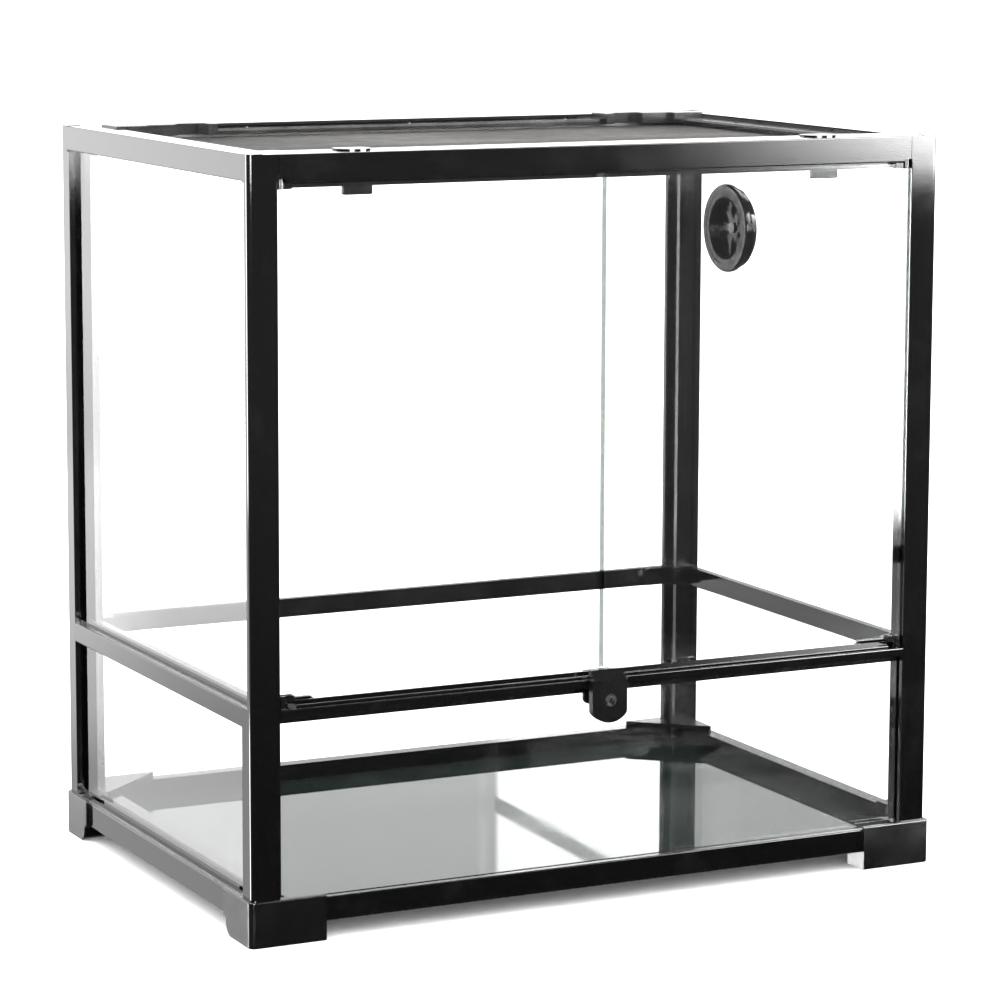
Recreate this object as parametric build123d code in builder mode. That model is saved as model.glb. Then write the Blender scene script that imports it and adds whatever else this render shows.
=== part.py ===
from build123d import *
import os

# A knock-down glass cage: clipped black frame, grooved glass panes, two hinged doors at the front,
# a lift-off mesh screen on top. Millimetres, +Z up, the doors face -Y, the origin is at the middle
# of the base. Along each side, "inward" is the distance in from the cage's outer face.

# Overall size
WIDTH = 600.0
DEPTH = 400.0
HEIGHT = 600.0

# Glass and its slots, inward from the outer face
PANE = (5.2, 9.2)
SLOT = (5.0, 9.4)
PANE_START_BEHIND_WEB = 17.4
PANE_START_AT_CORNER = 5.4
BASE_PANE_INWARD = 22.3
BASE_PANE_HEIGHTS = (24.5, 29.5)

# Feet
FOOT_PROUD = 3.0
FOOT_TOP = 36.0
FOOT_ARM = 60.0
FOOT_SIDE_ARM = {-1: 51.0, 1: 45.0}
FOOT_BLOCK = 30.0
FOOT_CORNER_RADIUS = 5.0
TOE_RADIUS = 10.0
TOE_COVE_RADIUS = 4.5
GUSSET_HEIGHTS = (43.0, 47.0)
GUSSET_REACH = (70.0, 62.0)
GUSSET_TIP = 2.0
GUSSET_BAND = (10.3, 21.5)
FRONT_CLIP_REACH = 40.0
FRONT_CLIP_TOP = 45.0
RIM_BREAK = 0.4

# Bottom rails
BOTTOM_RAIL_DEPTH = 22.0
BOTTOM_RAIL_LOW = 14.5
BOTTOM_RAIL_LIP = 34.5
BOTTOM_FRONT_LIP = 33.5
BOTTOM_WALL_TOP = 43.0
BOTTOM_FRONT_WALL_TOP = 29.0
BOTTOM_FLANGE_LOW = 17.0
BOTTOM_FLANGE_END = 30.0
BOTTOM_GROOVE_FLOOR = 26.0
BOTTOM_CHAMBER = (2.5, 17.0, 19.5, 23.5)
TONGUE_PLAY = 0.2
TONGUE_LENGTH = 18.0

# Posts
POST_FACE = 24.0
BACK_POST_FACE = 29.0
POST_CORE_END = 19.0
POST_WEB_END = 17.0
POST_RADIUS = 4.0
BACK_POST_RADIUS = 1.5
POST_CHAMBER = ((12.0, 22.0), (11.5, 17.0))
POST_SIDE_LIP = {("lower", -1): 18.5, ("lower", 1): 16.0, ("upper", -1): 8.0, ("upper", 1): 16.0}
POST_JOINT = 183.5
POST_TOP = 579.0
SPIGOT_LENGTH = 30.0
GROOVE_WIDTH = 1.2
GROOVE_DEPTH = 0.8

# Middle rails
MID_RAIL_START = 19.2
MID_FRONT_START = 24.2
MID_BACK_START = 29.2
MID_STRIP_LOW = 167.5
MID_BACK_STRIP_LOW = 170.2
MID_WEB = (173.0, 178.0)
MID_LEG_END = 16.0
MID_LEG_HEIGHTS = (172.2, 188.2)
MID_RAIL_TOP = 182.0
MID_FRONT_LOW = 174.6
MID_FRONT_WEB = 176.5
MID_FRONT_LEG_LOW = 169.5
LOWER_PANE_TOP = 172.8
LOWER_FRONT_PANE_TOP = 176.3
BRACKET_HEIGHTS = (172.6, 187.8)
BRACKET_BLOCK = (33.0, 28.0)
BRACKET_ARM = 60.0
BRACKET_PLATE = (16.2, 19.2)
BRACKET_BLOCK_RADIUS = 8.5
BRACKET_END_RADIUS = 7.0
SILL_TOP = 184.6
SILL_LIP_TOP = 186.4
SILL_FACE = 1.5
SILL_LIP = (10.0, 12.0)
SILL_RADIUS = 0.8
SILL_NOTCH_END = 37.5

# Top rails and corners
TOP_CORNER_WIDTH = 25.0
TOP_CORNER_DEPTH = 11.5
TOP_CAP_WIDTH = 12.0
TOP_CAP_RISE = 0.4
TOP_RAIL_LOW = 580.0
TOP_SLOT_ROOF = 588.0
TOP_PANE_TOP = 586.0
TOP_FLANGE = 25.0
FRONT_FLANGE = 38.0
LEDGE_HEIGHTS = (586.0, 589.0)
LEDGE_REACH = 6.0
TOP_CHAMBER = (12.0, 589.0, 22.0, 596.5)
FRONT_CHAMBER = (14.0, 589.0, 35.0, 594.0)
EDGE_RADIUS = 1.0
TOP_INNER_BLOCK = (12.3, 585.8)
DOOR_LIP = (10.0, 12.0, 574.0)
FACE_LINE = (583.4, 0.8, 0.5)
PIVOT_POCKET = (31.0, 8.0)
PIVOT_HOLE_TOP = 587.0

# Doors
DOOR_PANE = (4.5, 8.5)
DOOR_HEIGHTS = (190.0, 577.5)
DOOR_EDGE = 25.6
DOOR_HALF_GAP = 1.0
PIVOT = (27.5, 4.5)
PIN_RADIUS = 1.5
PIN_PLAY = 0.05
BARREL_RADIUS = 2.8
SHOE_END = 37.0
SHOE_PLATE = 0.8
SHOE_BOTTOM = (182.4, 187.0, 192.0)
SHOE_TOP = (581.2, 578.2, 573.6)
PIN_TIPS = (177.3, 586.5)
PIVOT_HOLE_FLOOR = 177.0
PANE_EDGE_BREAK = 0.4
PIVOT_POCKET_ROOF = 581.5

# Lock
LOCK_HALF_WIDTH = 15.5
LOCK_FRONT = -10.0
LOCK_BACK = -3.0
LOCK_ARC_START = 156.5
LOCK_LOW = 148.0
SHOULDER_TOP = 189.5
SHOULDER_HALF_WIDTH = 14.25
CYLINDER_HEIGHT = 166.0
CYLINDER_RADIUS = 5.0
CRANK = 2.0
CRANK_PIN_RADIUS = 1.2
LATCH_HALF_WIDTH = 5.0
LATCH_FOOT_HALF_WIDTH = 7.0
LATCH_PLATE = (-2.6, -0.4)
LATCH_TOP = 189.6
LOCK_SCREW_X = 7.4
LOCK_SCREW_HEIGHT = 179.3
LOCK_SCREW_RADIUS = 1.3
LOCK_SCREW_PLAY = 0.1
LOCK_REAR_HALF_WIDTH = 13.5
LOCK_REAR_LOW = 151.0
LOCK_REAR_ARC_START = 158.0
LOCK_CAVITY = (158.0, 174.6)
LOCK_CHANNEL_LOW = 170.0
CYLINDER_DEPTHS = (-10.6, -3.1)
KEYWAY = (3.4, 3.0, 1.3, 5.2)
KEYWAY_FLOOR = -7.0
CRANK_PIN_BACK = -0.9
LATCH_FOOT = (160.0, 170.0)
LATCH_HOOK_LOW = 186.3
LATCH_HOOK_BACK = 4.2
LATCH_SLOT = (0.2, 4.9, 1.5)
BACK_PLATE = (16.0, 19.0)
BACK_PLATE_SIZE = (20.0, 27.5, 172.25)
BACK_PLATE_RADIUS = 5.0
SCREW_REACH = (-6.0, 19.4)
SCREW_HEAD = (19.0, 20.6, 2.4)

# Screen
SCREEN_HALF_WIDTH = 274.5
SCREEN_FRONT = -161.5
SCREEN_BACK = 174.5
SCREEN_HEIGHTS = (589.0, 596.5)
SCREEN_BAND = 22.0
SCREEN_REBATE_INWARD = 13.4
SCREEN_REBATE_TOP = 592.4
MESH_HEIGHTS = (589.5, 590.0)
SPLINE_WIDTH = 3.6
FRONT_CORNER_TOP = 598.0
BACK_CORNER_TOP = 601.5
SCREEN_BEVEL = 1.6
SCREEN_RIM_RADIUS = 0.8
STUD_RADIUS = 1.6
STUD_RISE = 0.9
STUDS_BACK = (-150.0, 0.0, 150.0)
STUDS_SIDE = (-60.0, 60.0)
CORNER_BAND = 28.0
BACK_CORNER_ARMS = (92.0, 35.0)
FRONT_CORNER_ARMS = (35.0, 35.0)
FINGER_RECESS = (56.0, 84.0, 12.0)

# Screen locks
KNOB_X = 204.0
KNOB_INWARD = 28.0
KNOB_RADIUS = 14.5
KNOB_FLAT = 9.0
KNOB_HEIGHTS = (597.2, 601.2)
KNOB_POCKET_FLOOR = 597.0
KNOB_PLAY = 0.5
KNOB_SLOT = (10.0, 1.3, 1.2)
STEM_RADIUS = 4.0
STEM_LOW = 584.0
LOCK_BASE = (13.0, 14.0, 36.0, 583.0)
LOCK_TAB = (12.0, 16.2, 20.2, 566.8)
LOCK_TAB_RADIUS = 1.5

# Ventilator in the right pane
VENT_Y = 119.0
VENT_Z = 500.0
VENT_FLANGE_RADIUS = 35.0
VENT_FLANGE_DEPTH = 3.5
VENT_RING_RADIUS = 39.0
VENT_RING_BORE = 32.6
VENT_RING_DEPTH = 4.8
VENT_RING_ROUND = 2.6
VENT_TUBE_START = 286.5
VENT_TUBE_RADIUS = 31.8
VENT_BORE_RADIUS = 27.5
VENT_PANE_HOLE = 32.2
VENT_PLATE = (298.0, 301.0)
VENT_SPOKES = 6
VENT_WINDOW = (9.0, 25.0, 0.42)
VENT_SCALLOPS = 32
VENT_SCALLOP_RADIUS = 1.1
VENT_SCALLOP_DEPTH = 1.5
SHUTTER = (295.4, 297.5)
SHUTTER_RADIUS = 27.2
SHUTTER_CLOSED = 180 / VENT_SPOKES
SHUTTER_GRIP = (292.4, 1.25, 12.0, 23.0)
RIVET_HEAD = (293.3, 295.1, 4.5)
RIVET_TAIL = (301.3, 302.4, 3.0)

CORNERS = {
    "front_left": (-1, -1),
    "front_right": (1, -1),
    "back_left": (-1, 1),
    "back_right": (1, 1),
}

# For each side: the inward direction, the section's normal, and which way the normal runs
RUNS = {
    "front": (Vector(0, 1, 0), Vector(1, 0, 0), 1),
    "back": (Vector(0, -1, 0), Vector(-1, 0, 0), -1),
    "left": (Vector(1, 0, 0), Vector(0, -1, 0), -1),
    "right": (Vector(-1, 0, 0), Vector(0, 1, 0), 1),
}

os.makedirs("parts", exist_ok=True)


def save(piece, name):
    """Label a finished piece and write its STEP file."""
    piece.part.label = name
    export_step(piece.part, f"parts/{name}.step")


def block(low, high, mode=Mode.ADD):
    """A box between two opposite corners."""
    size = [end - start for start, end in zip(low, high)]
    with Locations(Vector(*low)):
        Box(*size, align=(Align.MIN, Align.MIN, Align.MIN), mode=mode)


def inward_point(corner, u, v):
    """The plan position u in from a corner's side face and v in from its front or back face."""
    return (corner[0] * (WIDTH / 2 - u), corner[1] * (DEPTH / 2 - v))


def corner_block(corner, u, v, z, mode=Mode.ADD):
    """A box at one corner, between two inward distances u, two inward distances v and two heights."""
    first = inward_point(corner, u[0], v[0])
    second = inward_point(corner, u[1], v[1])
    low = (min(first[0], second[0]), min(first[1], second[1]), z[0])
    high = (max(first[0], second[0]), max(first[1], second[1]), z[1])
    block(low, high, mode)


def along(side, section, low, high, chamber=None, mode=Mode.ADD):
    """Extrude a section of (inward, height) points along one side, between two x or y values."""
    inward, normal, sign = RUNS[side]
    face = Vector(-inward.X * WIDTH / 2, -inward.Y * DEPTH / 2, 0)
    start = face + Vector(abs(normal.X), abs(normal.Y), 0) * low
    with BuildSketch(Plane(start, x_dir=inward, z_dir=normal)) as profile:
        with BuildLine():
            Polyline(*section, close=True)
        make_face()
        if chamber:
            left, bottom, right, top = chamber
            with Locations(((left + right) / 2, (bottom + top) / 2)):
                Rectangle(right - left, top - bottom, mode=Mode.SUBTRACT)
    extrude(profile.sketch, amount=sign * (high - low), mode=mode)


def round_near(piece, axis, points, radius):
    """Round the straight edges along an axis that pass nearest to the given points."""
    lines = piece.edges().filter_by(axis)
    fillet([lines.sort_by_distance(point)[0] for point in points], radius)


def bevel_near(part, axis, points, size):
    """Bevel the edges along an axis that lie nearest to the points."""
    lines = part.edges().filter_by(axis)
    chamfer([lines.sort_by_distance(point)[0] for point in points], size)


def upright_hole(x, y, low, high, radius):
    """A round hole along Z."""
    with BuildSketch(Plane.XY.offset(low)) as profile:
        with Locations((x, y)):
            Circle(radius)
    extrude(profile.sketch, amount=high - low, mode=Mode.SUBTRACT)


def upright_pin(x, y, low, high, radius):
    """A round pin along Z."""
    with BuildSketch(Plane.XY.offset(low)) as profile:
        with Locations((x, y)):
            Circle(radius)
    extrude(profile.sketch, amount=high - low)


def fore_plane(inward):
    """The plane parallel to the front face, x to the right, y up, with its normal to the front."""
    return Plane((0, inward - DEPTH / 2, 0), x_dir=(1, 0, 0), z_dir=(0, -1, 0))


def fore_bar(x, z, radius, inward, mode=Mode.ADD):
    """A round bar or hole along Y, between two inward distances from the front face."""
    with BuildSketch(fore_plane(inward[1])) as profile:
        with Locations((x, z)):
            Circle(radius)
    extrude(profile.sketch, amount=inward[1] - inward[0], mode=mode)


# ---------------------------------------------------------------- feet and bottom rails


def make_foot(name, corner):
    """A corner foot: two proud plates, toes under the rails, a gusset and the post's spigot."""
    sx, sy = corner
    reach = FOOT_SIDE_ARM[sy]
    rail_space = (BOTTOM_RAIL_LOW, FOOT_TOP + 1)
    full = (0, FOOT_TOP)
    chamber = BOTTOM_CHAMBER
    across = (chamber[0] + TONGUE_PLAY, chamber[2] - TONGUE_PLAY)
    upright = (chamber[1] + TONGUE_PLAY, chamber[3] - TONGUE_PLAY)
    with BuildPart() as foot:
        corner_block(corner, (-FOOT_PROUD, FOOT_ARM), (-FOOT_PROUD, BOTTOM_RAIL_DEPTH), full)
        outer = Vector(sx * (WIDTH / 2 + FOOT_PROUD), sy * DEPTH / 2, 0)
        with BuildSketch(Plane(outer, x_dir=(0, -sy, 0), z_dir=(-sy, 0, 0))):
            with BuildLine():
                sole = Line((-FOOT_PROUD, 0), (reach - TOE_RADIUS - TOE_COVE_RADIUS, 0))
                toe = JernArc(sole @ 1, (1, 0), TOE_RADIUS, 90)
                cove = JernArc(toe @ 1, (0, 1), TOE_COVE_RADIUS, -90)
                Polyline(cove @ 1, (reach, FOOT_TOP), (-FOOT_PROUD, FOOT_TOP), sole @ 0)
            make_face()
        extrude(amount=sx * sy * (BOTTOM_RAIL_DEPTH + FOOT_PROUD))
        beyond = (FOOT_BLOCK, FOOT_ARM + 1)
        inside = (0, BOTTOM_RAIL_DEPTH + 1)
        corner_block(corner, beyond, inside, rail_space, Mode.SUBTRACT)
        corner_block(corner, inside, beyond, rail_space, Mode.SUBTRACT)
        outside = (*inward_point(corner, -FOOT_PROUD, -FOOT_PROUD), FOOT_TOP / 2)
        round_near(foot, Axis.Z, [outside], FOOT_CORNER_RADIUS)
        rims = [
            (*inward_point(corner, 20, -FOOT_PROUD), FOOT_TOP),
            (*inward_point(corner, 20, -FOOT_PROUD), 0),
        ]
        round_near(foot, Axis.X, rims, EDGE_RADIUS)
        groove = (BOTTOM_GROOVE_FLOOR, FOOT_TOP)
        corner_block(corner, (POST_WEB_END, FOOT_BLOCK), SLOT, groove, Mode.SUBTRACT)
        corner_block(corner, SLOT, (SLOT[0], FOOT_BLOCK), groove, Mode.SUBTRACT)
        tongue = (FOOT_BLOCK, FOOT_BLOCK + TONGUE_LENGTH)
        corner_block(corner, tongue, across, upright)
        corner_block(corner, across, tongue, upright)
        near, far = GUSSET_BAND
        seat = POST_FACE + TONGUE_PLAY
        behind = POST_CORE_END + TONGUE_PLAY
        if sy > 0:
            riser = (FOOT_TOP, GUSSET_HEIGHTS[0])
            corner_block(corner, (BACK_POST_FACE + TONGUE_PLAY, FOOT_BLOCK), GUSSET_BAND, riser)
            corner_block(corner, GUSSET_BAND, (behind, FOOT_BLOCK), riser)
            long_arm, short_arm = GUSSET_REACH
            outline = [
                (seat, near),
                (long_arm, near),
                (long_arm, near + GUSSET_TIP),
                (near + GUSSET_TIP, short_arm),
                (near, short_arm),
                (near, behind),
                (seat, behind),
            ]
            with BuildSketch(Plane.XY.offset(GUSSET_HEIGHTS[0])):
                with BuildLine():
                    Polyline(*[inward_point(corner, u, v) for u, v in outline], close=True)
                make_face()
            extrude(amount=GUSSET_HEIGHTS[1] - GUSSET_HEIGHTS[0])
        else:
            corner_block(corner, GUSSET_BAND, (behind, FOOT_BLOCK), (FOOT_TOP, BOTTOM_WALL_TOP))
            clip = (BOTTOM_WALL_TOP, FRONT_CLIP_TOP)
            corner_block(corner, GUSSET_BAND, (behind, FRONT_CLIP_REACH), clip)
        spigot(corner, FOOT_TOP, FOOT_TOP + SPIGOT_LENGTH)
    save(foot, f"foot_{name}")


def spigot(corner, low, high):
    """The plug that fills a post's chamber, with a little play."""
    u, v = POST_CHAMBER
    loose_u = (u[0] + TONGUE_PLAY, u[1] - TONGUE_PLAY)
    loose_v = (v[0] + TONGUE_PLAY, v[1] - TONGUE_PLAY)
    corner_block(corner, loose_u, loose_v, (low, high))


def make_bottom_rail(side):
    """A hollow rail with a groove for the lower pane and a flange under the base pane."""
    half = (WIDTH if side in ("front", "back") else DEPTH) / 2 - FOOT_BLOCK
    lip = BOTTOM_FRONT_LIP if side == "front" else BOTTOM_RAIL_LIP
    wall = BOTTOM_FRONT_WALL_TOP if side == "front" else BOTTOM_WALL_TOP
    flange = (BOTTOM_FLANGE_LOW, BASE_PANE_HEIGHTS[0])
    section = [
        (0, BOTTOM_RAIL_LOW),
        (BOTTOM_RAIL_DEPTH, BOTTOM_RAIL_LOW),
        (BOTTOM_RAIL_DEPTH, flange[0]),
        (BOTTOM_FLANGE_END, flange[0]),
        (BOTTOM_FLANGE_END, flange[1]),
        (BOTTOM_RAIL_DEPTH, flange[1]),
        (BOTTOM_RAIL_DEPTH, wall),
        (SLOT[1], wall),
        (SLOT[1], BOTTOM_GROOVE_FLOOR),
        (SLOT[0], BOTTOM_GROOVE_FLOOR),
        (SLOT[0], lip),
        (0, lip),
    ]
    with BuildPart() as rail:
        along(side, section, -half, half, chamber=BOTTOM_CHAMBER)
        axis, point = outer_edge(side)
        round_near(rail, axis, [(*point, lip), (*point, BOTTOM_RAIL_LOW)], EDGE_RADIUS)
    save(rail, f"bottom_rail_{side}")


def outer_edge(side):
    """The axis that a side's rails run along, and the middle of the side's outer face in plan."""
    inward, normal, sign = RUNS[side]
    axis = Axis.X if abs(normal.X) > 0.5 else Axis.Y
    return axis, (-inward.X * WIDTH / 2, -inward.Y * DEPTH / 2)


def make_base_glass():
    """The pane that closes the bottom, standing on the rails' flanges."""
    x = WIDTH / 2 - BASE_PANE_INWARD
    y = DEPTH / 2 - BASE_PANE_INWARD
    low, high = BASE_PANE_HEIGHTS
    with BuildPart() as pane:
        block((-x, -y, low), (x, y, high))
    save(pane, "base_glass")


# ---------------------------------------------------------------- posts and panes


def make_post(level, name, corner):
    """One corner post: outer lips, a web or a full core, and a chamber for the spigots."""
    low, high = (FOOT_TOP, POST_JOINT) if level == "lower" else (POST_JOINT, POST_TOP)
    has_front_slot = level == "lower" or corner[1] > 0
    core_start = SLOT[1] if has_front_slot else SLOT[0]
    face_end = BACK_POST_FACE if corner[1] > 0 else POST_FACE
    with BuildPart() as post:
        corner_block(corner, (0, face_end), (0, SLOT[0]), (low, high))
        corner_block(corner, (0, SLOT[0]), (0, POST_SIDE_LIP[level, corner[1]]), (low, high))
        corner_block(corner, (SLOT[1], POST_FACE), (core_start, POST_CORE_END), (low, high))
        corner_block(corner, (SLOT[1], POST_WEB_END), (SLOT[0], SLOT[1]), (low, high))
        corner_block(corner, *POST_CHAMBER, (low, high), Mode.SUBTRACT)
        for middle in (13.5, 19.5):
            u = (middle - GROOVE_WIDTH / 2, middle + GROOVE_WIDTH / 2)
            v = (POST_CORE_END - GROOVE_DEPTH, POST_CORE_END)
            corner_block(corner, u, v, (low, high), Mode.SUBTRACT)
        middle = (low + high) / 2
        radius = BACK_POST_RADIUS if corner[1] > 0 else POST_RADIUS
        round_near(post, Axis.Z, [(*inward_point(corner, 0, 0), middle)], radius)
        rim = (*inward_point(corner, face_end, 0), middle)
        round_near(post, Axis.Z, [rim], EDGE_RADIUS)
    save(post, f"{level}_post_{name}")


def make_side_pane(level, side, vent=False):
    """A pane behind the lips of the side frames, from the front posts to the back ones."""
    lower, upper = (BOTTOM_GROOVE_FLOOR, LOWER_PANE_TOP), (MID_WEB[1], TOP_PANE_TOP)
    low, high = lower if level == "lower" else upper
    half = DEPTH / 2 - PANE_START_AT_CORNER
    section = [(PANE[0], low), (PANE[1], low), (PANE[1], high), (PANE[0], high)]
    with BuildPart() as pane:
        along(side, section, -half, half)
        if vent:
            vent_disc(WIDTH / 2 - PANE[1] - 1, WIDTH / 2, VENT_PANE_HOLE, mode=Mode.SUBTRACT)
    save(pane, f"{level}_glass_{side}")


def make_cross_pane(level, side, high):
    """A pane across the front or the back, between the posts' webs."""
    low = BOTTOM_GROOVE_FLOOR if level == "lower" else MID_WEB[1]
    half = WIDTH / 2 - PANE_START_BEHIND_WEB
    section = [(PANE[0], low), (PANE[1], low), (PANE[1], high), (PANE[0], high)]
    with BuildPart() as pane:
        along(side, section, -half, half)
    save(pane, f"{level}_glass_{side}")


# ---------------------------------------------------------------- middle rails and sill


def make_mid_rail(side):
    """The rail between the lower and upper panes, with a groove above and below."""
    strip_low = MID_BACK_STRIP_LOW if side == "back" else MID_STRIP_LOW
    section = [
        (0, strip_low),
        (SLOT[0], strip_low),
        (SLOT[0], MID_WEB[0]),
        (SLOT[1], MID_WEB[0]),
        (SLOT[1], MID_LEG_HEIGHTS[0]),
        (MID_LEG_END, MID_LEG_HEIGHTS[0]),
        (MID_LEG_END, MID_LEG_HEIGHTS[1]),
        (SLOT[1], MID_LEG_HEIGHTS[1]),
        (SLOT[1], MID_WEB[1]),
        (SLOT[0], MID_WEB[1]),
        (SLOT[0], POST_JOINT),
        (0, POST_JOINT),
    ]
    strip = [(0, strip_low), (SLOT[0], strip_low), (SLOT[0], POST_JOINT), (0, POST_JOINT)]
    with BuildPart() as rail:
        if side == "back":
            half = WIDTH / 2 - MID_BACK_START
            along(side, section, -half, half)
        else:
            half = DEPTH / 2 - MID_RAIL_START
            along(side, section, -half, half)
            front_end = POST_SIDE_LIP["lower", -1] + 0.1 - DEPTH / 2
            back_end = DEPTH / 2 - POST_SIDE_LIP["lower", 1] - 0.1
            along(side, strip, front_end, back_end)
        axis, point = outer_edge(side)
        round_near(rail, axis, [(*point, strip_low), (*point, POST_JOINT)], EDGE_RADIUS)
    save(rail, f"mid_rail_{side}")


def make_front_mid_rail():
    """The front rail under the doors, which holds the lower pane, the lock and the door pivots."""
    half = WIDTH / 2 - MID_FRONT_START
    section = [
        (0, MID_FRONT_LOW),
        (SLOT[0], MID_FRONT_LOW),
        (SLOT[0], MID_FRONT_WEB),
        (SLOT[1], MID_FRONT_WEB),
        (SLOT[1], MID_FRONT_LEG_LOW),
        (MID_LEG_END, MID_FRONT_LEG_LOW),
        (MID_LEG_END, MID_RAIL_TOP),
        (0, MID_RAIL_TOP),
    ]
    with BuildPart() as rail:
        along("front", section, -half, half)
        face = -DEPTH / 2
        round_near(rail, Axis.X, [(0, face, MID_FRONT_LOW), (0, face, MID_RAIL_TOP)], EDGE_RADIUS)
        for sign in (-1, 1):
            x, y = inward_point((sign, -1), *PIVOT)
            upright_hole(x, y, PIVOT_HOLE_FLOOR, MID_RAIL_TOP, PIN_RADIUS + PIN_PLAY)
            hole = LOCK_SCREW_RADIUS + LOCK_SCREW_PLAY
            reach = (0, MID_LEG_END)
            fore_bar(sign * LOCK_SCREW_X, LOCK_SCREW_HEIGHT, hole, reach, Mode.SUBTRACT)
    save(rail, "mid_rail_front")


def make_door_sill():
    """The strip that the doors close over, with a lip behind them and a notch for each pivot."""
    half = WIDTH / 2 - MID_FRONT_START
    section = [
        (SILL_FACE, MID_RAIL_TOP),
        (SILL_LIP[1], MID_RAIL_TOP),
        (SILL_LIP[1], SILL_LIP_TOP),
        (SILL_LIP[0], SILL_LIP_TOP),
        (SILL_LIP[0], SILL_TOP),
        (SILL_FACE, SILL_TOP),
    ]
    with BuildPart() as sill:
        along("front", section, -half, half)
        for sign in (-1, 1):
            notch_inward = (0, SILL_LIP[0] - 0.3)
            notch_heights = (MID_RAIL_TOP, SILL_LIP_TOP + 1)
            notch = ((POST_FACE, SILL_NOTCH_END), notch_inward, notch_heights)
            corner_block((sign, -1), *notch, Mode.SUBTRACT)
        round_near(sill, Axis.X, [(0, SILL_FACE - DEPTH / 2, SILL_TOP)], SILL_RADIUS)
    save(sill, "door_sill")


def make_mid_connectors():
    """Four inner corner brackets that tie the middle rails together."""
    low, high = BRACKET_HEIGHTS
    inner, outer = BRACKET_PLATE
    middle = (inner + outer) / 2
    with BuildPart() as brackets:
        for corner in CORNERS.values():
            block_u, block_v = (inner, BRACKET_BLOCK[0]), (outer, BRACKET_BLOCK[1])
            corner_block(corner, block_u, block_v, BRACKET_HEIGHTS)
            corner_block(corner, (MID_FRONT_START, BRACKET_ARM), BRACKET_PLATE, BRACKET_HEIGHTS)
        tips = [(*inward_point(corner, *BRACKET_BLOCK), low) for corner in CORNERS.values()]
        round_near(brackets, Axis.Z, tips, BRACKET_BLOCK_RADIUS)
        for corner in CORNERS.values():
            end = inward_point(corner, BRACKET_ARM, middle)
            round_near(brackets, Axis.Y, [(*end, low), (*end, high)], BRACKET_END_RADIUS)
    save(brackets, "mid_connectors")


# ---------------------------------------------------------------- top frame


def make_top_corner(name, corner):
    """A top corner block with its raised cap, post spigot and side-rail tongue."""
    u, v = (0, TOP_CORNER_WIDTH), (0, TOP_CORNER_DEPTH)
    with BuildPart() as block_part:
        corner_block(corner, u, v, (POST_TOP, HEIGHT))
        inner_u, inner_v = (TOP_INNER_BLOCK[0], POST_FACE), (TOP_CORNER_DEPTH, POST_CORE_END)
        corner_block(corner, inner_u, inner_v, (POST_TOP, TOP_INNER_BLOCK[1]))
        corner_block(corner, (0, TOP_CAP_WIDTH), v, (HEIGHT, HEIGHT + TOP_CAP_RISE))
        radius = BACK_POST_RADIUS if corner[1] > 0 else POST_RADIUS
        round_near(block_part, Axis.Z, [(*inward_point(corner, 0, 0), HEIGHT)], radius)
        across = (TOP_CHAMBER[0] + TONGUE_PLAY, TOP_CHAMBER[2] - TONGUE_PLAY)
        upright = (TOP_CHAMBER[1] + TONGUE_PLAY, TOP_CHAMBER[3] - TONGUE_PLAY)
        tongue = (TOP_CORNER_DEPTH, TOP_CORNER_DEPTH + TONGUE_LENGTH)
        corner_block(corner, across, tongue, upright)
        spigot(corner, POST_TOP - SPIGOT_LENGTH, POST_TOP)
        slot_heights = (POST_TOP, TOP_SLOT_ROOF)
        corner_block(corner, SLOT, (SLOT[0], TOP_CORNER_DEPTH), slot_heights, Mode.SUBTRACT)
        if corner[1] > 0:
            behind_web = (POST_WEB_END, TOP_CORNER_WIDTH)
            corner_block(corner, behind_web, SLOT, slot_heights, Mode.SUBTRACT)
        else:
            pocket_u, pocket_v = (POST_FACE, TOP_CORNER_WIDTH), (0, PIVOT_POCKET[1])
            pocket_heights = (POST_TOP, PIVOT_POCKET_ROOF)
            corner_block(corner, pocket_u, pocket_v, pocket_heights, Mode.SUBTRACT)
        front_edge = (*inward_point(corner, TOP_CORNER_WIDTH, 0), HEIGHT - EDGE_RADIUS)
        lines = block_part.edges().filter_by(Axis.Z)
        chamfer(lines.sort_by_distance(front_edge)[0], RIM_BREAK)
    save(block_part, f"top_corner_{name}")


def top_section(flange):
    """The side and back top rail's section, without the ledge."""
    return [
        (0, TOP_RAIL_LOW),
        (SLOT[0], TOP_RAIL_LOW),
        (SLOT[0], TOP_SLOT_ROOF),
        (SLOT[1], TOP_SLOT_ROOF),
        (SLOT[1], TOP_RAIL_LOW),
        (12, TOP_RAIL_LOW),
        (12, LEDGE_HEIGHTS[0]),
        (flange, LEDGE_HEIGHTS[0]),
        (flange, HEIGHT),
        (0, HEIGHT),
    ]


def ledge_section(start):
    """The shelf that carries the screen, from the inner edge of a rail's flange."""
    low, high = LEDGE_HEIGHTS
    return [(start, low), (start + LEDGE_REACH, low), (start + LEDGE_REACH, high), (start, high)]


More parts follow.
